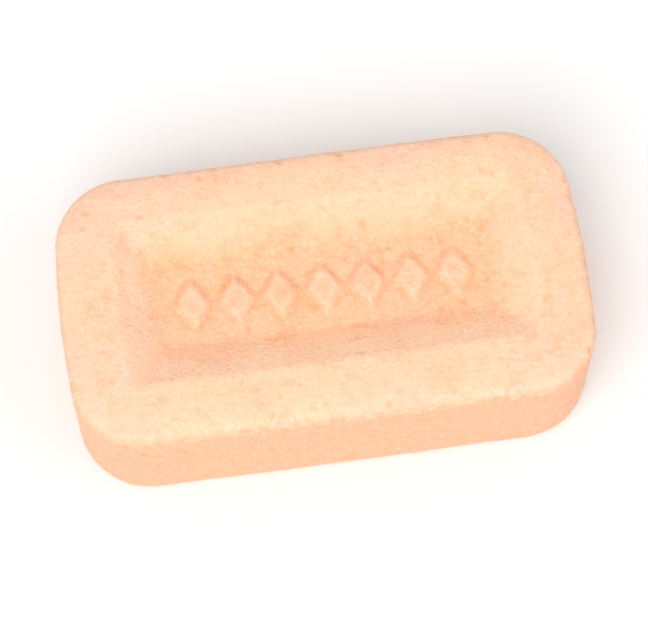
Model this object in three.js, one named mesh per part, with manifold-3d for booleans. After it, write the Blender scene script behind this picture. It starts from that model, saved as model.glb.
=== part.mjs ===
// A fruit candy tablet: one small rounded bar of pressed sugar, with a raised rim round a shallow
// dish in each face. Units are millimetres and +Z is up. The origin is the middle of its footprint,
// on the surface that it lies on, and its length runs along X.
import * as THREE from 'three';
import { mergeVertices, toCreasedNormals } from 'three/addons/utils/BufferGeometryUtils.js';
import Module from 'manifold-3d';

// The whole tablet
const LENGTH = 15.0;
const WIDTH = 8.2;
const THICKNESS = 4.4;
const CORNER_RADIUS = 1.9; // of the outline seen from above
const END_BOW = 0.25; // how far a short end falls back from its middle to the long sides

// The rim, where an inset is a distance inwards from the outline
const SHOULDER_RADIUS = 0.45; // between the upright side band and the rim
const CROWN_ANGLE = THREE.MathUtils.degToRad(20); // slope of the rim where it leaves the shoulder
const CREST_INSET = 1.1;
const CREST_WIDTH = 0.4; // the flat top of the rim, on which the tablet rests

// The dish, a hipped hollow with straight walls and a flat floor
const DISH_DEPTH = 0.65;
const FLOOR_INSET = 3.0;
const WALL_ROUNDING = 0.5; // radius of the lip above a wall and of the fillet below it
const SHARPEST_CORNER = 0.25; // plan radius of the dish floor's corners

// The relief on each dish floor, a row of plain lozenges
const LOZENGE_COUNT = 7;
const LOZENGE_PITCH = 1.25;
const LOZENGE_LENGTH = 1.15; // both sizes are where it meets the floor
const LOZENGE_WIDTH = 1.7;
const LOZENGE_HEIGHT = 0.18;
const LOZENGE_TOP_SHARE = 0.6; // size of its flat top as a share of those
const LOZENGE_ROOT = 0.3; // how deep it is carried on into the tablet before the two are joined

// How finely the curves are stepped
const CORNER_STEPS = 9;
const END_STEPS = 8;
const SIDE_STEPS = 6;
const SHOULDER_STEPS = 5;
const CROWN_STEPS = 3;
const WALL_ROUNDING_STEPS = 3;
const CREASE_ANGLE = THREE.MathUtils.degToRad(30); // faces that meet more sharply are shaded apart

const CREST_END = CREST_INSET + CREST_WIDTH;

// Points of one side of a ring, from one corner's end to the next corner's start, ends left out.
function straightPoints(from, to, steps) {
  const points = [];
  for (let step = 1; step < steps; step += 1) {
    points.push(new THREE.Vector2().lerpVectors(from, to, step / steps));
  }
  return points;
}

// The outline moved inwards by inset, as a closed ring of points that runs anticlockwise.
function outlineRing(inset) {
  const halfLength = LENGTH / 2 - inset;
  const halfWidth = WIDTH / 2 - inset;
  const radius = Math.max(CORNER_RADIUS - inset, SHARPEST_CORNER);
  const corners = [[1, 1], [-1, 1], [-1, -1], [1, -1]].map(([signX, signY], quarter) => {
    const centre = new THREE.Vector2(signX * (halfLength - radius), signY * (halfWidth - radius));
    const arc = [];
    for (let step = 0; step <= CORNER_STEPS; step += 1) {
      const angle = (quarter + step / CORNER_STEPS) * Math.PI / 2;
      arc.push(new THREE.Vector2(Math.cos(angle), Math.sin(angle)).multiplyScalar(radius).add(centre));
    }
    return arc;
  });
  const ring = corners.flatMap((arc, quarter) => {
    const nextArc = corners[(quarter + 1) % corners.length];
    const steps = quarter % 2 === 0 ? SIDE_STEPS : END_STEPS;
    return [...arc, ...straightPoints(arc.at(-1), nextArc[0], steps)];
  });
  return ring.map(({ x, y }) => {
    const fallBack = END_BOW * (2 * y / WIDTH) ** 2;
    return new THREE.Vector2(x * (1 - fallBack / halfLength), y);
  });
}

// The section through one face, from the top of the side band inwards to the dish floor, as points
// of inset and height below the crest.
function faceSection() {
  const section = [];
  const shoulderTurn = Math.PI / 2 - CROWN_ANGLE;
  const shoulderInset = SHOULDER_RADIUS * (1 - Math.cos(shoulderTurn));
  const crownRadius = (CREST_INSET - shoulderInset) / Math.sin(CROWN_ANGLE);
  const crownRise = crownRadius * (1 - Math.cos(CROWN_ANGLE));
  const bandTop = -crownRise - SHOULDER_RADIUS * Math.sin(shoulderTurn);
  for (let step = 0; step <= SHOULDER_STEPS; step += 1) {
    const turn = shoulderTurn * step / SHOULDER_STEPS;
    const inset = SHOULDER_RADIUS * (1 - Math.cos(turn));
    section.push({ inset, height: bandTop + SHOULDER_RADIUS * Math.sin(turn) });
  }
  for (let step = 1; step <= CROWN_STEPS; step += 1) {
    const slope = CROWN_ANGLE * (1 - step / CROWN_STEPS);
    const inset = CREST_INSET - crownRadius * Math.sin(slope);
    section.push({ inset, height: -crownRadius * (1 - Math.cos(slope)) });
  }

  // A lip, a straight wall and a fillet, each tangent to the next, take the dish to its floor.
  const run = FLOOR_INSET - CREST_END;
  const bothRadii = 2 * WALL_ROUNDING;
  const wallSlope = Math.atan2(DISH_DEPTH - bothRadii, run)
    + Math.asin(bothRadii / Math.hypot(run, DISH_DEPTH - bothRadii));
  for (let step = 0; step <= WALL_ROUNDING_STEPS; step += 1) {
    const slope = wallSlope * step / WALL_ROUNDING_STEPS;
    const inset = CREST_END + WALL_ROUNDING * Math.sin(slope);
    section.push({ inset, height: -WALL_ROUNDING * (1 - Math.cos(slope)) });
  }
  for (let step = WALL_ROUNDING_STEPS; step >= 0; step -= 1) {
    const slope = wallSlope * step / WALL_ROUNDING_STEPS;
    const inset = FLOOR_INSET - WALL_ROUNDING * Math.sin(slope);
    section.push({ inset, height: WALL_ROUNDING * (1 - Math.cos(slope)) - DISH_DEPTH });
  }
  return section;
}

// A closed body through a stack of rings of equal length, each end filled by a fan round its middle.
function loftRings(rings) {
  const vertices = rings.flatMap(({ points, z }) => points.flatMap(({ x, y }) => [x, y, z]));
  const count = rings[0].points.length;
  const indices = [];
  for (let level = 0; level < rings.length - 1; level += 1) {
    for (let column = 0; column < count; column += 1) {
      const next = (column + 1) % count;
      const [a, b] = [level * count + column, level * count + next];
      const [c, d] = [a + count, b + count];
      indices.push(a, b, d, a, d, c);
    }
  }
  const firstMiddle = rings.length * count;
  const lastMiddle = firstMiddle + 1;
  const lastRing = firstMiddle - count;
  vertices.push(0, 0, rings[0].z, 0, 0, rings.at(-1).z);
  for (let column = 0; column < count; column += 1) {
    const next = (column + 1) % count;
    indices.push(firstMiddle, next, column);
    indices.push(lastMiddle, lastRing + column, lastRing + next);
  }
  const geometry = new THREE.BufferGeometry();
  geometry.setAttribute('position', new THREE.Float32BufferAttribute(vertices, 3));
  geometry.setIndex(indices);
  return geometry;
}

// The pressed body: the same section on the lower and the upper face, with the band between them.
function bodyGeometry() {
  const section = faceSection().map(({ inset, height }) => ({ points: outlineRing(inset), height }));
  const lower = section.map(({ points, height }) => ({ points, z: -height })).reverse();
  const upper = section.map(({ points, height }) => ({ points, z: THICKNESS + height }));
  return loftRings([...lower, ...upper]);
}

// One lozenge with sloping sides, standing on the floor of the upper dish at x along the tablet.
function lozengeGeometry(x) {
  const height = LOZENGE_ROOT + LOZENGE_HEIGHT;
  const footShare = 1 + (1 - LOZENGE_TOP_SHARE) * LOZENGE_ROOT / LOZENGE_HEIGHT;
  const geometry = new THREE.CylinderGeometry(LOZENGE_TOP_SHARE / 2, footShare / 2, height, 4);
  const foot = THICKNESS - DISH_DEPTH - LOZENGE_ROOT;
  geometry.rotateX(Math.PI / 2);
  geometry.scale(LOZENGE_LENGTH, LOZENGE_WIDTH, 1);
  geometry.translate(x, 0, foot + height / 2);
  return geometry;
}

const wasm = await Module();
wasm.setup();

// A three.js geometry as a solid that can be joined, with only its positions kept.
function toSolid(geometry) {
  const bare = geometry.clone();
  bare.deleteAttribute('normal');
  bare.deleteAttribute('uv');
  const merged = mergeVertices(bare);
  return new wasm.Manifold(new wasm.Mesh({
    numProp: 3,
    vertProperties: new Float32Array(merged.attributes.position.array),
    triVerts: new Uint32Array(merged.index.array),
  }));
}

// A joined solid as a three.js geometry, smooth over its curves and crisp along its edges.
function toGeometry(solid) {
  const mesh = solid.getMesh();
  const geometry = new THREE.BufferGeometry();
  geometry.setAttribute('position', new THREE.BufferAttribute(mesh.vertProperties, 3));
  geometry.setIndex(new THREE.BufferAttribute(mesh.triVerts, 1));
  return toCreasedNormals(geometry, CREASE_ANGLE);
}

function tabletGeometry() {
  let tablet = toSolid(bodyGeometry());
  for (let index = 0; index < LOZENGE_COUNT; index += 1) {
    const x = (index - (LOZENGE_COUNT - 1) / 2) * LOZENGE_PITCH;
    const upper = lozengeGeometry(x);
    const lower = upper.clone().rotateX(Math.PI).translate(0, 0, THICKNESS);
    tablet = tablet.add(toSolid(upper)).add(toSolid(lower));
  }
  return toGeometry(tablet);
}

const pressedCandy = new THREE.MeshStandardMaterial({ color: 0xfacea8, roughness: 0.85, metalness: 0 });
const tablet = new THREE.Mesh(tabletGeometry(), pressedCandy);
tablet.name = 'tablet';

const candy = new THREE.Group();
candy.add(tablet);

export default candy;
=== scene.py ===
"""A fruit candy tablet, with its pressed sugar surface, finish, light and camera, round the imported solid.

The sweet is worked out in millimetres, the unit such a small thing is measured in. Its mesh is then
written in metres, the unit of the floor, the lamps and the camera.
"""

import logging
import math
from dataclasses import dataclass, field
from enum import Enum

import bpy
import numpy as np
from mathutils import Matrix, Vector, kdtree, noise


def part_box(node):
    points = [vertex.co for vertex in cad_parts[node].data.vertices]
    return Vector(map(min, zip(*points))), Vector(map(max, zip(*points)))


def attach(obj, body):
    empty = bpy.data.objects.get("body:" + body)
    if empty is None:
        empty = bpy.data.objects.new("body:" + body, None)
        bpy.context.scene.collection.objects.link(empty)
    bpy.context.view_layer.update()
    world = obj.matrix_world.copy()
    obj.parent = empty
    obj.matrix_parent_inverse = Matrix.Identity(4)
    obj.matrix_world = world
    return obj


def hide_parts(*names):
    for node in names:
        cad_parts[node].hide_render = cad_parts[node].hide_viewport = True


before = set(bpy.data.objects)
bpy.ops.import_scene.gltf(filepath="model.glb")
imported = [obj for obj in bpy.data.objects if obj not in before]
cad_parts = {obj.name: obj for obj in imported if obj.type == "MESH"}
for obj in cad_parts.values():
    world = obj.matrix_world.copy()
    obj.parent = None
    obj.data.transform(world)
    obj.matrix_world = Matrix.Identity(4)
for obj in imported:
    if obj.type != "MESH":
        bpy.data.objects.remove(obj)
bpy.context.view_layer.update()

log = logging.getLogger("candy")

Socket = bpy.types.NodeSocket
Span = tuple[float, float]
Triple = tuple[float, float, float]

MM = 0.001  # metres in a millimetre
TINY = 1e-9  # keeps a divisor off zero


class Field(Enum):
    """Numbers kept on the tablet's vertices, which its finish reads; hollow, curve and pit also steer
    painted shade.
    """

    BAND = "band"
    HOLLOW = "hollow"
    CURVE = "curve"
    PIT = "pit"


def smooth_step(low: float, high: float, values: np.ndarray) -> np.ndarray:
    """Eases values from 0 at low to 1 at high.

    Args:
        low: where the result leaves 0.
        high: where it reaches 1; it may be below low.
        values: the numbers to ease.

    Returns:
        an array like values, from 0 to 1.
    """
    share = np.clip((values - low) / (high - low), 0.0, 1.0)
    return share * share * (3.0 - 2.0 * share)


def direction(azimuth: float, elevation: float) -> Vector:
    """Points from the sweet towards a lamp or a camera.

    Args:
        azimuth: degrees round the sweet, where 0 is in front of it, looking along +Y.
        elevation: degrees above the floor.

    Returns:
        a vector of length 1.
    """
    turn, rise = math.radians(azimuth), math.radians(elevation)
    return Vector((math.sin(turn) * math.cos(rise), -math.cos(turn) * math.cos(rise), math.sin(rise)))


@dataclass(frozen=True)
class Outline:
    """The tablet seen from above: a rounded rectangle whose short ends swell a little."""

    length: float
    width: float
    corner_radius: float = 1.9
    end_bow: float = 0.25
    sharpest_corner: float = 0.25

    def side(self, half: float, radius: float, cells: int) -> tuple[np.ndarray, np.ndarray]:
        """Spaces points evenly along one side of a ring, from the middle of one corner to the next.

        Args:
            half: half the ring's size along this side.
            radius: radius of the ring's corners.
            cells: number of steps along the side.

        Returns:
            each point's place along the side, and how far it falls back from it round a corner.
        """
        straight = half - radius
        reach = straight + radius * math.pi / 4
        steps = np.linspace(-reach, reach, cells + 1)
        turn = np.clip(np.abs(steps) - straight, 0.0, None) / max(radius, TINY)
        along = np.sign(steps) * (np.minimum(np.abs(steps), straight) + radius * np.sin(turn))
        return along, radius * (1.0 - np.cos(turn))

    def grid(self, insets: np.ndarray, spacing: float) -> np.ndarray:
        """Lays a grid of square cells over the outline, in rings that follow it inwards.

        Args:
            insets: distance of each ring from the outline, the last at the middle of the width.
            spacing: size of a cell along the middle.

        Returns:
            plan positions, of shape (cells along + 1, cells across + 1, 2).
        """
        across = 2 * (len(insets) - 1)
        along = across + round((self.length - self.width) / spacing)
        plan = np.zeros((along + 1, across + 1, 2))
        for ring, inset in enumerate(insets):
            half_length = self.length / 2 - inset
            half_width = self.width / 2 - inset
            radius = min(max(self.corner_radius - inset, self.sharpest_corner), half_width)
            places, fall = self.side(half_length, radius, along - 2 * ring)
            columns = slice(ring, along - ring + 1)
            plan[columns, ring] = np.stack([places, fall - half_width], axis=1)
            plan[columns, across - ring] = np.stack([places, half_width - fall], axis=1)
            places, fall = self.side(half_width, radius, across - 2 * ring)
            lines = slice(ring, across - ring + 1)
            plan[ring, lines] = np.stack([fall - half_length, places], axis=1)
            plan[along - ring, lines] = np.stack([half_length - fall, places], axis=1)
        ring_of = self.ring_numbers(along, across)
        fall_back = self.end_bow * (2.0 * plan[:, :, 1] / self.width) ** 2
        plan[:, :, 0] *= 1.0 - fall_back / (self.length / 2 - insets[ring_of])
        return plan

    def ring_numbers(self, along: int, across: int) -> np.ndarray:
        """Numbers the ring of each grid point, from 0 on the outline.

        Args:
            along: cells along the tablet.
            across: cells across it.

        Returns:
            whole numbers, of shape (along + 1, across + 1).
        """
        column = np.arange(along + 1)[:, None]
        line = np.arange(across + 1)[None, :]
        return np.minimum(np.minimum(column, along - column), np.minimum(line, across - line))


@dataclass(frozen=True)
class Section:
    """The cut through one face, from the top of the side band over the rim to the dish floor."""

    shoulder_radius: float = 0.45
    crown_angle: float = math.radians(20.0)
    crest_inset: float = 1.1
    crest_width: float = 0.4
    dish_depth: float = 0.65
    floor_inset: float = 3.0
    wall_rounding: float = 0.5
    curve_steps: int = 24

    @property
    def crest_end(self) -> float:
        """The inset at which the flat crest ends and the dish begins."""
        return self.crest_inset + self.crest_width

    def profile(self, half_width: float) -> np.ndarray:
        """Follows the section as one fine broken line.

        Args:
            half_width: where it ends, at the middle of the tablet.

        Returns:
            rows of inset and of height above the crest, which is 0 or less.
        """
        shoulder = np.linspace(0.0, math.pi / 2 - self.crown_angle, self.curve_steps)
        shoulder_inset = self.shoulder_radius * (1.0 - math.cos(shoulder[-1]))
        crown_radius = (self.crest_inset - shoulder_inset) / math.sin(self.crown_angle)
        crown_rise = crown_radius * (1.0 - math.cos(self.crown_angle))
        band_top = -crown_rise - self.shoulder_radius * math.sin(shoulder[-1])
        crown = np.linspace(self.crown_angle, 0.0, self.curve_steps)[1:]
        run = self.floor_inset - self.crest_end
        radii = 2.0 * self.wall_rounding
        slope = math.atan2(self.dish_depth - radii, run)
        slope += math.asin(radii / math.hypot(run, self.dish_depth - radii))
        lip = np.linspace(0.0, slope, self.curve_steps)
        fillet = lip[::-1]
        inset = np.concatenate([
            self.shoulder_radius * (1.0 - np.cos(shoulder)),
            self.crest_inset - crown_radius * np.sin(crown),
            self.crest_end + self.wall_rounding * np.sin(lip),
            self.floor_inset - self.wall_rounding * np.sin(fillet),
            [half_width],
        ])
        height = np.concatenate([
            band_top + self.shoulder_radius * np.sin(shoulder),
            -crown_radius * (1.0 - np.cos(crown)),
            -self.wall_rounding * (1.0 - np.cos(lip)),
            self.wall_rounding * (1.0 - np.cos(fillet)) - self.dish_depth,
            [-self.dish_depth],
        ])
        return np.stack([inset, height], axis=1)

    def trace(self, half_width: float, spacing: float) -> np.ndarray:
        """Walks the section in even steps.

        Args:
            half_width: where it ends, at the middle of the tablet.
            spacing: wanted length of a step.

        Returns:
            rows of inset, height above the crest, and distance walked.
        """
        line = self.profile(half_width)
        walked = np.concatenate([[0.0], np.cumsum(np.hypot(*np.diff(line, axis=0).T))])
        stops = np.linspace(0.0, walked[-1], round(walked[-1] / spacing) + 1)
        inset = np.interp(stops, walked, line[:, 0])
        height = np.interp(stops, walked, line[:, 1])
        return np.stack([inset, height, stops], axis=1)


@dataclass(frozen=True)
class LozengeRow:
    """A row of plain low lozenges that stand on a dish floor.

    The top's size and the softness of the edges are shares of a lozenge's size. A fullness of 1
    would give straight sides, and more makes them swell.
    """

    count: int = 7
    pitch: float = 1.25
    length: float = 1.15
    width: float = 1.7
    height: float = 0.18
    top_share: float = 0.6
    fullness: float = 1.2
    softness: float = 0.04

    @property
    def edges(self) -> Span:
        """The reach of the foot line and that of the top's edge, as reach() measures them."""
        return 1.0 + self.softness, self.top_share - self.softness

    def offset(self, plan: np.ndarray) -> np.ndarray:
        """Measures each place from the middle of the lozenge nearest to it.

        Args:
            plan: places seen from above, of shape (points, 2).

        Returns:
            offsets of the same shape, as shares of half the lozenge's length and width.
        """
        nearest = np.round(plan[:, 0] / self.pitch + (self.count - 1) / 2)
        nearest = np.clip(nearest, 0, self.count - 1) - (self.count - 1) / 2
        middle = np.stack([nearest * self.pitch, np.zeros(len(plan))], axis=1)
        return (plan - middle) * 2.0 / (self.length, self.width)

    def reach(self, offset: np.ndarray) -> np.ndarray:
        """Says how far out places lie, from 0 at a lozenge's middle to 1 on its outline."""
        return (np.abs(offset) ** self.fullness).sum(axis=1) ** (1.0 / self.fullness)

    def rise(self, plan: np.ndarray) -> np.ndarray:
        """Works out how much of a lozenge's height stands at each place.

        Args:
            plan: places seen from above, of shape (points, 2).

        Returns:
            a share for each place, 0 off the lozenges and 1 on their flat tops.
        """
        return smooth_step(*self.edges, self.reach(self.offset(plan)))

    def gather(self, plan: np.ndarray, near: float) -> np.ndarray:
        """Moves the places nearest to a foot line or to a top's edge onto it.

        Args:
            plan: places seen from above, of shape (points, 2).
            near: how far a place may be moved.

        Returns:
            the places, so that a mesh through them has crisp lozenges.
        """
        for edge in self.edges:
            offset = self.offset(plan)
            reach = np.maximum(self.reach(offset), TINY)[:, None]
            slope = np.sign(offset) * (np.abs(offset) / reach) ** (self.fullness - 1.0)
            slope = slope * 2.0 / (self.length, self.width)
            move = (edge - reach) * slope / np.maximum((slope ** 2).sum(axis=1), TINY)[:, None]
            close = np.hypot(*move.T) < near
            plan = plan + move * close[:, None]
        return plan


@dataclass(frozen=True)
class Swell:
    """One size of unevenness that runs all over the surface."""

    wavelength: float
    amplitude: float


@dataclass(frozen=True)
class Blemishes:
    """Many small marks of one kind, scattered over part of the surface."""

    count: int
    radius: Span
    depth: Span
    seed: int

    def press(
        self, points: np.ndarray, tree: kdtree.KDTree, likely: np.ndarray, wobble: np.ndarray,
    ) -> np.ndarray:
        """Presses the marks into the surface, each at a vertex drawn by chance.

        Args:
            points: the surface's vertices.
            tree: the same vertices, ready to be searched.
            likely: how likely each vertex is to carry a mark.
            wobble: how far a mark's edge strays at each vertex, as a share of its radius.

        Returns:
            the depth that the marks reach at each vertex.
        """
        draw = np.random.default_rng(self.seed)
        depths = np.zeros(len(points))
        centres = draw.choice(len(points), self.count, replace=False, p=likely / likely.sum())
        for centre in centres:
            radius = draw.uniform(*self.radius)
            depth = draw.uniform(*self.depth)
            for _, index, distance in tree.find_range(points[centre], radius):
                away = distance / radius + wobble[index]
                depths[index] = max(depths[index], depth * (1.0 - away * away))
        return depths


@dataclass
class Skin:
    """A closed surface of quads, with the numbers that its vertices carry."""

    points: np.ndarray
    quads: np.ndarray
    fields: dict[Field, np.ndarray] = field(default_factory=dict)


@dataclass
class PressedTablet:
    """The sweet itself: one closed skin over both dished faces and the upright side band."""

    outline: Outline
    thickness: float
    section: Section = field(default_factory=Section)
    relief: LozengeRow = field(default_factory=LozengeRow)
    cell: float = 0.076  # size of a quad
    snap: float = 0.40  # how far a point may move to a lozenge's edge, in cells
    band_edge: float = 0.12  # distance inwards over which a face still has all the band's colour
    swells: tuple[Swell, ...] = (
        Swell(6.0, 0.040),
        Swell(2.3, 0.016),
        Swell(0.85, 0.010),
        Swell(0.38, 0.008),
        Swell(0.20, 0.007),
    )
    noise_shift: Triple = (17.3, 5.9, 31.7)  # takes the noise's even lattice off the tablet's middle
    pits: Blemishes = Blemishes(count=170, radius=(0.09, 0.20), depth=(0.015, 0.05), seed=11)
    chips: Blemishes = Blemishes(count=60, radius=(0.14, 0.34), depth=(0.010, 0.035), seed=23)
    clumps: Blemishes = Blemishes(count=1100, radius=(0.09, 0.18), depth=(0.005, 0.018), seed=37)
    chips_elsewhere: float = 1e-4  # weight of a chip's draw off the shoulders, which weigh up to 0.25
    ragged: Swell = Swell(0.16, 0.55)  # of a mark's edge, as a share of its radius
    curve_reach: int = 5  # rounds of smoothing that the curve is measured from
    sliver: float = 0.3  # sine of the angle of a corner that is too straight to be folded off

    def skin(self) -> Skin:
        """Builds the smooth pressed form, before wear and grain.

        Returns:
            the skin, in millimetres, with its band and hollow fields.
        """
        inset, height, walked = self.section.trace(self.outline.width / 2, self.cell).T
        grid = self.outline.grid(inset, self.cell)
        columns, lines = grid.shape[:2]
        ring = self.outline.ring_numbers(columns - 1, lines - 1).ravel()
        plan = self.relief.gather(grid.reshape(-1, 2), self.snap * self.cell)
        rise = self.relief.rise(plan)
        sunk = np.where(inset > self.section.crest_end, -height, 0.0)[ring]
        hollow = (sunk - rise * self.relief.height) / self.section.dish_depth
        band = smooth_step(self.section.shoulder_radius, self.band_edge, walked)[ring]
        level = height[ring] + rise * self.relief.height
        upper = np.column_stack([plan, self.thickness + level])
        lower = np.column_stack([plan, -level])

        loop = self.loop(columns, lines)
        rows = round((self.thickness + 2.0 * height[0]) / self.cell)
        share = np.linspace(0.0, 1.0, rows + 1)[1:-1, None, None]
        side = (lower[loop] * (1.0 - share) + upper[loop] * share).reshape(-1, 3)
        points = np.concatenate([lower, upper, side])
        fields = {
            Field.BAND: np.concatenate([band, band, np.ones(len(side))]),
            Field.HOLLOW: np.concatenate([hollow, hollow, np.zeros(len(side))]),
        }
        return Skin(points, self.quads(columns, lines, loop, rows), fields)

    def loop(self, columns: int, lines: int) -> np.ndarray:
        """Lists the grid points on the outline, anticlockwise from the low corner.

        Args:
            columns: grid points along the tablet.
            lines: grid points across it.

        Returns:
            their numbers in one face's grid.
        """
        number = np.arange(columns * lines).reshape(columns, lines)
        return np.concatenate([
            number[:-1, 0], number[-1, :-1], number[:0:-1, -1], number[0, :0:-1],
        ])

    def quads(self, columns: int, lines: int, loop: np.ndarray, rows: int) -> np.ndarray:
        """Joins the points of both faces and of the band into quads that face out.

        Args:
            columns: grid points along the tablet.
            lines: grid points across it.
            loop: numbers of the points on a face's outline.
            rows: cells up the side band.

        Returns:
            rows of four vertex numbers.
        """
        number = np.arange(columns * lines).reshape(columns, lines)
        face = np.stack([number[:-1, :-1], number[1:, :-1], number[1:, 1:], number[:-1, 1:]], axis=-1)
        face = face.reshape(-1, 4)
        between = 2 * columns * lines + np.arange((rows - 1) * len(loop)).reshape(rows - 1, -1)
        levels = np.concatenate([loop[None], between, loop[None] + columns * lines])
        ahead = np.roll(levels, -1, axis=1)
        band = np.stack([levels[:-1], ahead[:-1], ahead[1:], levels[1:]], axis=-1).reshape(-1, 4)
        return np.concatenate([face[:, ::-1], face + columns * lines, band])

    def build(self, name: str) -> bpy.types.Object:
        """Makes the tablet's object, worn and grained.

        Args:
            name: name of the object.

        Returns:
            the object, in metres and in the solid's own frame.
        """
        skin = self.skin()
        mesh = bpy.data.meshes.new(name)
        mesh.from_pydata(skin.points.tolist(), [], skin.quads.tolist())
        edges = np.zeros(len(mesh.edges) * 2, int)
        mesh.edges.foreach_get("vertices", edges)
        normals = self.normals(mesh)
        worn = self.weather(skin, normals)
        skin.fields[Field.CURVE] = self.curvature(worn, normals, edges.reshape(-1, 2))
        mesh.vertices.foreach_set("co", worn.ravel())
        mesh.update()
        quads = self.fold(skin.quads, worn, self.normals(mesh))
        mesh.clear_geometry()
        mesh.from_pydata((worn * MM).tolist(), [], quads.tolist())
        mesh.polygons.foreach_set("use_smooth", np.ones(len(quads), bool))
        for kind, values in skin.fields.items():
            attribute = mesh.attributes.new(kind.value, "FLOAT", "POINT")
            attribute.data.foreach_set("value", values)
        mesh.update()
        tablet = bpy.data.objects.new(name, mesh)
        bpy.context.scene.collection.objects.link(tablet)
        return tablet

    def normals(self, mesh: bpy.types.Mesh) -> np.ndarray:
        """Reads the directions in which a mesh's vertices face.

        Args:
            mesh: the mesh.

        Returns:
            rows of three numbers, one for each vertex.
        """
        directions = np.zeros(len(mesh.vertices) * 3)
        mesh.vertex_normals.foreach_get("vector", directions)
        return directions.reshape(-1, 3)

    def fold(self, quads: np.ndarray, points: np.ndarray, normals: np.ndarray) -> np.ndarray:
        """Turns each quad so that its two triangles meet along its better diagonal.

        That is the one over which the surface bends less, unless it would cut off a corner that is
        nearly straight and so leave a sliver.

        Args:
            quads: rows of four vertex numbers, which fold from the first to the third.
            points: the vertices.
            normals: the directions in which they face.

        Returns:
            the same quads, some of them starting one vertex further on.
        """
        sides = np.roll(points[quads], -1, axis=1) - points[quads]
        sides /= np.linalg.norm(sides, axis=2, keepdims=True)
        sines = np.linalg.norm(np.cross(np.roll(sides, 1, axis=1), sides), axis=2)
        cut_off = np.minimum(sines[:, 1::-1], sines[:, 3:1:-1])
        facing = normals[quads]
        bend = 1.0 - (facing[:, :2] * facing[:, 2:]).sum(axis=2)
        cost = bend - np.minimum(cut_off / self.sliver, 1.0)
        return np.where(cost[:, 1:] < cost[:, :1], np.roll(quads, -1, axis=1), quads)

    def weather(self, skin: Skin, normals: np.ndarray) -> np.ndarray:
        """Roughens the smooth form with unevenness, clumps of grain, pits and chipped shoulders.

        Args:
            skin: the smooth form, to which the pit field is added.
            normals: its vertex normals.

        Returns:
            the new positions, none below the surface that the tablet lies on.
        """
        tree = kdtree.KDTree(len(skin.points))
        for index, point in enumerate(skin.points):
            tree.insert(point, index)
        tree.balance()
        band = skin.fields[Field.BAND]
        shoulder = band * (1.0 - band)
        anywhere = np.ones(len(skin.points))
        wobble = self.unevenness(skin.points, (self.ragged,))
        pits = self.pits.press(skin.points, tree, anywhere, wobble)
        chips = self.chips.press(skin.points, tree, shoulder + self.chips_elsewhere, wobble)
        clumps = self.clumps.press(skin.points, tree, anywhere, wobble)
        skin.fields[Field.PIT] = pits / self.pits.depth[1]
        lift = clumps - pits - chips + self.unevenness(skin.points, self.swells)
        points = skin.points + normals * lift[:, None]
        points[:, 2] = np.clip(points[:, 2], 0.0, None)
        return points

    def unevenness(self, points: np.ndarray, swells: tuple[Swell, ...]) -> np.ndarray:
        """Adds up soft noise of several sizes at each vertex.

        Args:
            points: the vertices.
            swells: the sizes.

        Returns:
            the sum at each vertex.
        """
        total = np.zeros(len(points))
        for swell in swells:
            shift = Vector(self.noise_shift) * swell.wavelength
            scale = 1.0 / swell.wavelength
            heights = [noise.noise(Vector(point) * scale + shift) for point in points]
            total += swell.amplitude * np.array(heights)
        return total

    def curvature(self, points: np.ndarray, normals: np.ndarray, edges: np.ndarray) -> np.ndarray:
        """Measures how far each vertex stands out of its smoothed surroundings.

        Args:
            points: the vertices.
            normals: the directions in which they face.
            edges: pairs of joined vertices.

        Returns:
            millimetres, above 0 on edges and grains and below 0 in creases and pits.
        """
        ends = np.concatenate([edges, edges[:, ::-1]])
        count = np.bincount(ends[:, 0], minlength=len(points))[:, None]
        smooth = points
        for _ in range(self.curve_reach):
            total = [np.bincount(ends[:, 0], smooth[ends[:, 1], axis], len(points)) for axis in range(3)]
            smooth = np.stack(total, axis=1) / count
        return ((points - smooth) * normals).sum(axis=1)


class Value:
    """A number socket of a shader, on which arithmetic adds Math nodes."""

    def __init__(self, bench: "ShaderBench", socket: Socket) -> None:
        """Keeps the socket and the bench that it belongs to."""
        self.bench = bench
        self.socket = socket

    def combine(self, operation: str, *operands: "Value | float") -> "Value":
        """Adds one Math node.

        Args:
            operation: Blender's name for the operation.
            operands: what it works on, in order.

        Returns:
            the node's result.
        """
        node = self.bench.node("ShaderNodeMath", {"operation": operation}, dict(enumerate(operands)))
        return Value(self.bench, node.outputs[0])

    def __add__(self, other: "Value | float") -> "Value":
        """Adds other."""
        return self.combine("ADD", self, other)

    def __radd__(self, other: "Value | float") -> "Value":
        """Adds to other."""
        return self.combine("ADD", other, self)

    def __sub__(self, other: "Value | float") -> "Value":
        """Takes other away."""
        return self.combine("SUBTRACT", self, other)

    def __rsub__(self, other: "Value | float") -> "Value":
        """Is taken from other."""
        return self.combine("SUBTRACT", other, self)

    def __mul__(self, other: "Value | float") -> "Value":
        """Multiplies by other."""
        return self.combine("MULTIPLY", self, other)

    def __rmul__(self, other: "Value | float") -> "Value":
        """Multiplies other."""
        return self.combine("MULTIPLY", other, self)

    def over(self, span: Span) -> "Value":
        """Eases the value from 0 at the start of a span to 1 at its end.

        Args:
            span: where the result leaves 0 and where it reaches 1; it may run downwards.

        Returns:
            the eased value, from 0 to 1.
        """
        settings = {"interpolation_type": "SMOOTHSTEP"}
        node = self.bench.node("ShaderNodeMapRange", settings, {0: self, 1: span[0], 2: span[1]})
        return Value(self.bench, node.outputs[0])


Input = Value | Socket | float | tuple[float, ...]


@dataclass(frozen=True)
class Patches:
    """Soft patches of one size in millimetres, with the span of their noise over which they show."""

    size: float
    detail: float
    span: Span = (0.0, 1.0)


@dataclass(frozen=True)
class Grains:
    """Grains of one size in millimetres, of which those with enough luck show.

    The edge is where a grain begins and where it is full, in grain sizes from its middle.
    """

    size: float
    luck: Span
    edge: Span


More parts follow.
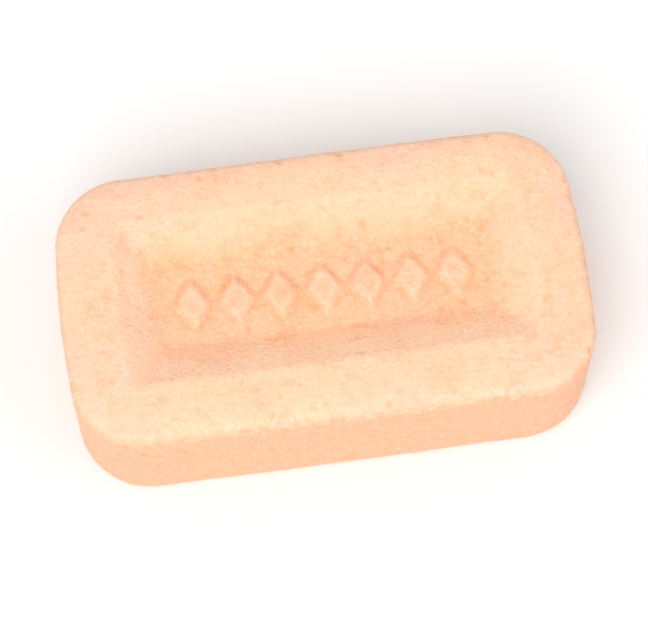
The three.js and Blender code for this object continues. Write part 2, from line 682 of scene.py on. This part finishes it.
class ShaderBench:
    """One material's node tree, in which a single method adds every kind of node."""

    def __init__(self, name: str) -> None:
        """Starts an empty tree in a new material called name."""
        self.material = bpy.data.materials.new(name)
        self.material.use_nodes = True
        self.tree = self.material.node_tree
        self.tree.nodes.clear()

    def node(
        self,
        kind: str,
        settings: dict[str, str] | None = None,
        inputs: dict[str | int, Input] | None = None,
    ) -> bpy.types.Node:
        """Adds a node, sets it up, and then fills its sockets.

        Args:
            kind: Blender's type of the node.
            settings: its properties, which are set before its sockets.
            inputs: values or links, by the socket's name or number.

        Returns:
            the new node.
        """
        node = self.tree.nodes.new(kind)
        for name, setting in (settings or {}).items():
            setattr(node, name, setting)
        for name, value in (inputs or {}).items():
            if isinstance(value, Value):
                self.tree.links.new(value.socket, node.inputs[name])
            elif isinstance(value, Socket):
                self.tree.links.new(value, node.inputs[name])
            else:
                node.inputs[name].default_value = value
        return node

    def place(self) -> Socket:
        """Gives the place on the object, in metres."""
        return self.node("ShaderNodeTexCoord").outputs["Object"]

    def field(self, kind: Field) -> Value:
        """Reads one of the numbers that the mesh carries."""
        node = self.node("ShaderNodeAttribute", {"attribute_name": kind.value})
        return Value(self, node.outputs["Fac"])

    def vector(self, operation: str, *operands: Socket | Triple) -> Socket:
        """Adds one Vector Math node.

        Args:
            operation: Blender's name for the operation.
            operands: vectors, or sockets that give them.

        Returns:
            the node's vector.
        """
        node = self.node("ShaderNodeVectorMath", {"operation": operation}, dict(enumerate(operands)))
        return node.outputs[0]

    def noise(self, patches: Patches, place: Socket) -> bpy.types.Node:
        """Adds a noise node.

        Args:
            patches: their size and detail.
            place: where it is read.

        Returns:
            the node, whose outputs are about 0 to 1 round 0.5.
        """
        inputs = {"Vector": place, "Scale": 1.0 / (patches.size * MM), "Detail": patches.detail}
        return self.node("ShaderNodeTexNoise", {}, inputs)

    def cloud(self, patches: Patches, place: Socket) -> Value:
        """Adds soft noise as a number, with a noise node's arguments."""
        return Value(self, self.noise(patches, place).outputs[0])

    def stray(self, patches: Patches, reach: float, place: Socket) -> Socket:
        """Shifts a place by noise, so that what is read there has ragged outlines.

        Args:
            patches: the noise's size and detail.
            reach: how far it shifts, in millimetres.
            place: the place.

        Returns:
            the shifted place.
        """
        offset = self.vector("SUBTRACT", self.noise(patches, place).outputs[1], (0.5, 0.5, 0.5))
        return self.vector("ADD", place, self.vector("MULTIPLY", offset, (reach * MM,) * 3))

    def grains(self, kind: Grains, place: Socket) -> tuple[Value, Value]:
        """Packs the surface with grains.

        Args:
            kind: their size and luck.
            place: where they are read.

        Returns:
            the distance from each grain's middle in grain sizes, and how far each grain shows.
        """
        inputs = {"Vector": place, "Scale": 1.0 / (kind.size * MM)}
        cells = self.node("ShaderNodeTexVoronoi", {}, inputs)
        parts = self.node("ShaderNodeSeparateColor", {}, {0: cells.outputs["Color"]})
        return Value(self, cells.outputs["Distance"]), Value(self, parts.outputs[0]).over(kind.luck)

    def mix(self, share: Value | float, first: Socket | Triple, second: Socket | Triple) -> Socket:
        """Mixes two colours.

        Args:
            share: how much of the second colour there is.
            first: a colour, or a socket that gives one.
            second: the same.

        Returns:
            the mixed colour.
        """
        ends = [(*end, 1.0) if isinstance(end, tuple) else end for end in (first, second)]
        node = self.node("ShaderNodeMix", {"data_type": "RGBA"}, {0: share, 6: ends[0], 7: ends[1]})
        return node.outputs[2]


@dataclass(frozen=True)
class Marks:
    """What the finish shows at each place, as shader numbers from 0 to 1."""

    band: Value
    mottle: Value
    granule: Value
    crystal: Value
    fleck: Value
    domes: Value


@dataclass(frozen=True)
class PressedCandy:
    """Matt, powdery pressed sugar, tinted peach all through."""

    sandy: Triple = (0.955, 0.604, 0.390)
    rosy: Triple = (0.955, 0.584, 0.412)
    # deep is the sugar's deeper tone in patches, and also the painted shade low in the dish and in creases
    deep: Triple = (0.935, 0.395, 0.178)
    band: Triple = (0.940, 0.460, 0.262)
    pale: Triple = (0.965, 0.695, 0.520)
    # fleck is the dark specks' own colour, and also the painted shade in pits
    fleck: Triple = (0.870, 0.420, 0.180)

    # Patches and grains, read at places that stray so that their outlines are ragged
    straying: Patches = Patches(size=0.09, detail=2.0)
    stray_reach: float = 0.16
    hue: Patches = Patches(size=3.4, detail=2.0, span=(0.38, 0.62))
    blotches: Patches = Patches(size=1.9, detail=3.0, span=(0.40, 0.75))
    mottle: Patches = Patches(size=0.40, detail=4.0, span=(0.48, 0.74))
    grit: Patches = Patches(size=0.075, detail=1.0)
    scores: Patches = Patches(size=0.16, detail=2.0)
    score_squeeze: Triple = (1.0, 1.0, 0.06)  # draws the scores out along the press's stroke
    granules: Grains = Grains(size=0.085, luck=(0.60, 1.00), edge=(0.50, 0.05))
    crystals: Grains = Grains(size=0.16, luck=(0.70, 0.90), edge=(0.60, 0.15))
    flecks: Grains = Grains(size=0.33, luck=(0.80, 0.95), edge=(0.42, 0.12))
    crystal_dome: Span = (0.50, 0.05)

    # Where the mesh's hollow field is low in the dish, and its curve field a crease or a worn edge
    low: Span = (0.25, 1.00)
    crease: Span = (-0.005, -0.026)
    worn: Span = (0.004, 0.026)

    # How far each thing takes the colour to the deep one, the pale one, or the dark one of the flecks; the
    # deepening low in the dish, in creases and in pits is painted shade
    painted_shade_low_in_dish: float = 0.38
    deep_by_blotches: float = 0.20
    deep_by_mottle: float = 0.30
    painted_shade_in_creases: float = 0.25
    pale_by_crystals: float = 0.38
    pale_by_granules: float = 0.26
    pale_by_wear: float = 0.30
    wear_lost_low: float = 0.20
    dark_by_flecks: float = 0.45
    painted_shade_in_pits: float = 0.30

    # The depth of the finest relief in millimetres, and the share of it that each has
    grain_relief: float = 0.037
    grit_height: float = 0.20
    mottle_height: float = 0.15
    granule_height: float = 0.25
    crystal_height: float = 0.35
    fleck_depth: float = 0.50
    score_height: float = 0.60

    roughness: float = 0.80
    mottle_roughness: float = 0.20
    crystal_gloss: float = 0.15
    specular: float = 0.35
    sheen: float = 0.12
    sheen_roughness: float = 0.60
    scatter: float = 0.22
    scatter_reach: float = 0.30
    scatter_colour: Triple = (1.0, 0.55, 0.30)

    def make(self, name: str) -> bpy.types.Material:
        """Builds the material.

        Args:
            name: what it is called.

        Returns:
            the material.
        """
        bench = ShaderBench(name)
        place = bench.place()
        marks = self.marks(bench, place)
        bump = bench.node("ShaderNodeBump", {}, {
            "Strength": 1.0, "Distance": self.grain_relief * MM, "Height": self.height(bench, place, marks),
        })
        roughness = self.roughness + marks.mottle * self.mottle_roughness
        surface = bench.node("ShaderNodeBsdfPrincipled", {"subsurface_method": "RANDOM_WALK"}, {
            "Base Color": self.colour(bench, place, marks),
            "Roughness": roughness - marks.crystal * self.crystal_gloss,
            "Normal": bump.outputs[0],
            "Specular IOR Level": self.specular,
            "Subsurface Weight": self.scatter,
            "Subsurface Radius": self.scatter_colour,
            "Subsurface Scale": self.scatter_reach * MM,
            "Sheen Weight": self.sheen,
            "Sheen Roughness": self.sheen_roughness,
        })
        bench.node("ShaderNodeOutputMaterial", {}, {0: surface.outputs[0]})
        return bench.material

    def marks(self, bench: ShaderBench, place: Socket) -> Marks:
        """Scatters what both the colour and the relief show.

        Args:
            bench: the material's node tree.
            place: the place on the object.

        Returns:
            the marks.
        """
        ragged = bench.stray(self.straying, self.stray_reach, place)
        granule_distance, granule = bench.grains(self.granules, ragged)
        crystal_distance, crystal = bench.grains(self.crystals, ragged)
        fleck_distance, fleck = bench.grains(self.flecks, ragged)
        granule_dome = granule_distance.over(self.granules.edge)
        crystal_dome = crystal_distance.over(self.crystal_dome)
        return Marks(
            band=bench.field(Field.BAND),
            mottle=bench.cloud(self.mottle, ragged),
            granule=granule,
            crystal=crystal * crystal_distance.over(self.crystals.edge),
            fleck=fleck * fleck_distance.over(self.flecks.edge),
            domes=granule_dome * self.granule_height + crystal_dome * self.crystal_height,
        )

    def colour(self, bench: ShaderBench, place: Socket, marks: Marks) -> Socket:
        """Tints the sugar: deeper on the band and in patches, paler where worn, and with painted shade low
        in the dish, in creases and in pits.

        Args:
            bench: the material's node tree.
            place: the place on the object.
            marks: what shows there.

        Returns:
            the colour.
        """
        curve = bench.field(Field.CURVE)
        low = bench.field(Field.HOLLOW).over(self.low)
        colour = bench.mix(bench.cloud(self.hue, place).over(self.hue.span), self.sandy, self.rosy)
        colour = bench.mix(marks.band, colour, self.band)
        blotches = bench.cloud(self.blotches, place).over(self.blotches.span)
        # painted shade: the colour deepens low in the dish, besides its patches of deeper tone
        depth = low * self.painted_shade_low_in_dish + blotches * self.deep_by_blotches
        depth = depth + marks.mottle.over(self.mottle.span) * self.deep_by_mottle
        # painted shade: creases deepen the colour too
        colour = bench.mix(depth + curve.over(self.crease) * self.painted_shade_in_creases, colour, self.deep)
        worn = curve.over(self.worn) * (self.pale_by_wear - low * self.wear_lost_low)
        powder = marks.crystal * self.pale_by_crystals + marks.granule * self.pale_by_granules + worn
        colour = bench.mix(powder, colour, self.pale)
        # painted shade darkens the pits; the flecks have their own dark colour
        specks_and_pit_shade = marks.fleck * self.dark_by_flecks + bench.field(Field.PIT) * self.painted_shade_in_pits
        return bench.mix(specks_and_pit_shade, colour, self.fleck)

    def height(self, bench: ShaderBench, place: Socket, marks: Marks) -> Value:
        """Raises the finest grain, and scores the side band upwards as the press leaves it.

        Args:
            bench: the material's node tree.
            place: the place on the object.
            marks: what shows there.

        Returns:
            the height, as a share of the grain's relief.
        """
        scores = bench.cloud(self.scores, bench.vector("MULTIPLY", place, self.score_squeeze))
        grit = bench.cloud(self.grit, place)
        height = grit * self.grit_height + marks.mottle * self.mottle_height + marks.domes
        return height - marks.fleck * self.fleck_depth + scores * marks.band * self.score_height


@dataclass(frozen=True)
class PaleFloor:
    """A plain pale floor, which isn't part of the sweet."""

    reach: float = 0.6
    colour: Triple = (0.875, 0.870, 0.865)
    roughness: float = 0.9
    specular: float = 0.2

    def build(self, name: str) -> bpy.types.Object:
        """Lays the floor.

        Args:
            name: name of the object.

        Returns:
            the floor.
        """
        corners = [(x * self.reach, y * self.reach, 0.0) for x, y in ((-1, -1), (1, -1), (1, 1), (-1, 1))]
        mesh = bpy.data.meshes.new(name)
        mesh.from_pydata(corners, [], [(0, 1, 2, 3)])
        bench = ShaderBench(name)
        paint = bench.node("ShaderNodeBsdfPrincipled", {}, {
            "Base Color": (*self.colour, 1.0),
            "Roughness": self.roughness,
            "Specular IOR Level": self.specular,
        })
        bench.node("ShaderNodeOutputMaterial", {}, {0: paint.outputs[0]})
        mesh.materials.append(bench.material)
        floor = bpy.data.objects.new(name, mesh)
        bpy.context.scene.collection.objects.link(floor)
        return floor


@dataclass(frozen=True)
class Softbox:
    """One square area lamp that looks at the sweet, with its angles in degrees and power in watts."""

    name: str
    azimuth: float
    elevation: float
    distance: float
    side: float
    power: float

    def hang(self, target: Vector) -> bpy.types.Object:
        """Hangs the lamp.

        Args:
            target: the point that it looks at.

        Returns:
            the lamp.
        """
        lamp = bpy.data.lights.new(self.name, "AREA")
        lamp.size = self.side
        lamp.energy = self.power
        softbox = bpy.data.objects.new(self.name, lamp)
        back = direction(self.azimuth, self.elevation)
        softbox.location = target + back * self.distance
        softbox.rotation_euler = back.to_track_quat("Z", "Y").to_euler()
        bpy.context.scene.collection.objects.link(softbox)
        return softbox


@dataclass(frozen=True)
class Studio:
    """The floor, soft light and camera of a plain product picture."""

    azimuth: float = -8.0
    elevation: float = 68.0
    lens: float = 150.0  # millimetres, as the sensor is
    sensor: float = 36.0
    nearest: float = 0.001
    fill: float = 0.80  # share of the picture's width that the sweet's length takes, seen square on
    sky: float = 0.64
    sky_colour: Triple = (1.0, 1.0, 1.0)
    lamps: tuple[Softbox, ...] = (
        Softbox("key", azimuth=-30.0, elevation=55.0, distance=0.26, side=0.18, power=0.47),
        Softbox("fill", azimuth=60.0, elevation=45.0, distance=0.30, side=0.20, power=0.13),
    )

    def set_up(self, low: Vector, high: Vector) -> None:
        """Places everything round the sweet.

        Args:
            low: lowest corner of the sweet's box.
            high: highest corner of it.
        """
        target = (low + high) / 2
        PaleFloor().build("pale_floor")
        for lamp in self.lamps:
            lamp.hang(target)
        self.light_sky()
        self.aim_camera(target, high.x - low.x)
        bpy.context.scene.view_settings.view_transform = "Standard"

    def light_sky(self) -> None:
        """Surrounds the scene with even white light."""
        world = bpy.data.worlds.new("white_surround")
        world.use_nodes = True
        background = world.node_tree.nodes["Background"]
        background.inputs["Color"].default_value = (*self.sky_colour, 1.0)
        background.inputs["Strength"].default_value = self.sky
        bpy.context.scene.world = world

    def aim_camera(self, target: Vector, length: float) -> None:
        """Makes the camera, so far back that the sweet's length fills its share of the picture.

        Args:
            target: the point at the middle of the picture.
            length: length of the sweet.
        """
        data = bpy.data.cameras.new("camera")
        data.lens = self.lens
        data.sensor_width = self.sensor
        data.clip_start = self.nearest
        distance = length / self.fill * self.lens / self.sensor
        camera = bpy.data.objects.new("camera", data)
        back = direction(self.azimuth, self.elevation)
        camera.location = target + back * distance
        camera.rotation_euler = back.to_track_quat("Z", "Y").to_euler()
        bpy.context.scene.collection.objects.link(camera)
        bpy.context.scene.camera = camera


def main() -> None:
    """Builds the sweet and its studio."""
    logging.basicConfig(level=logging.INFO, format="%(message)s")
    low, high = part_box("tablet")
    size = (high - low) / MM
    sweet = PressedTablet(Outline(length=size.x, width=size.y), thickness=size.z)
    tablet = sweet.build("pressed_tablet")
    tablet.data.materials.append(PressedCandy().make("pressed_candy"))
    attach(tablet, "root")
    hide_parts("tablet")
    log.info("pressed_tablet: %d vertices, %d faces", len(tablet.data.vertices), len(tablet.data.polygons))
    Studio().set_up(low, high)
    log.info("studio: floor, lamps and camera")


if __name__ == "__main__":
    main()
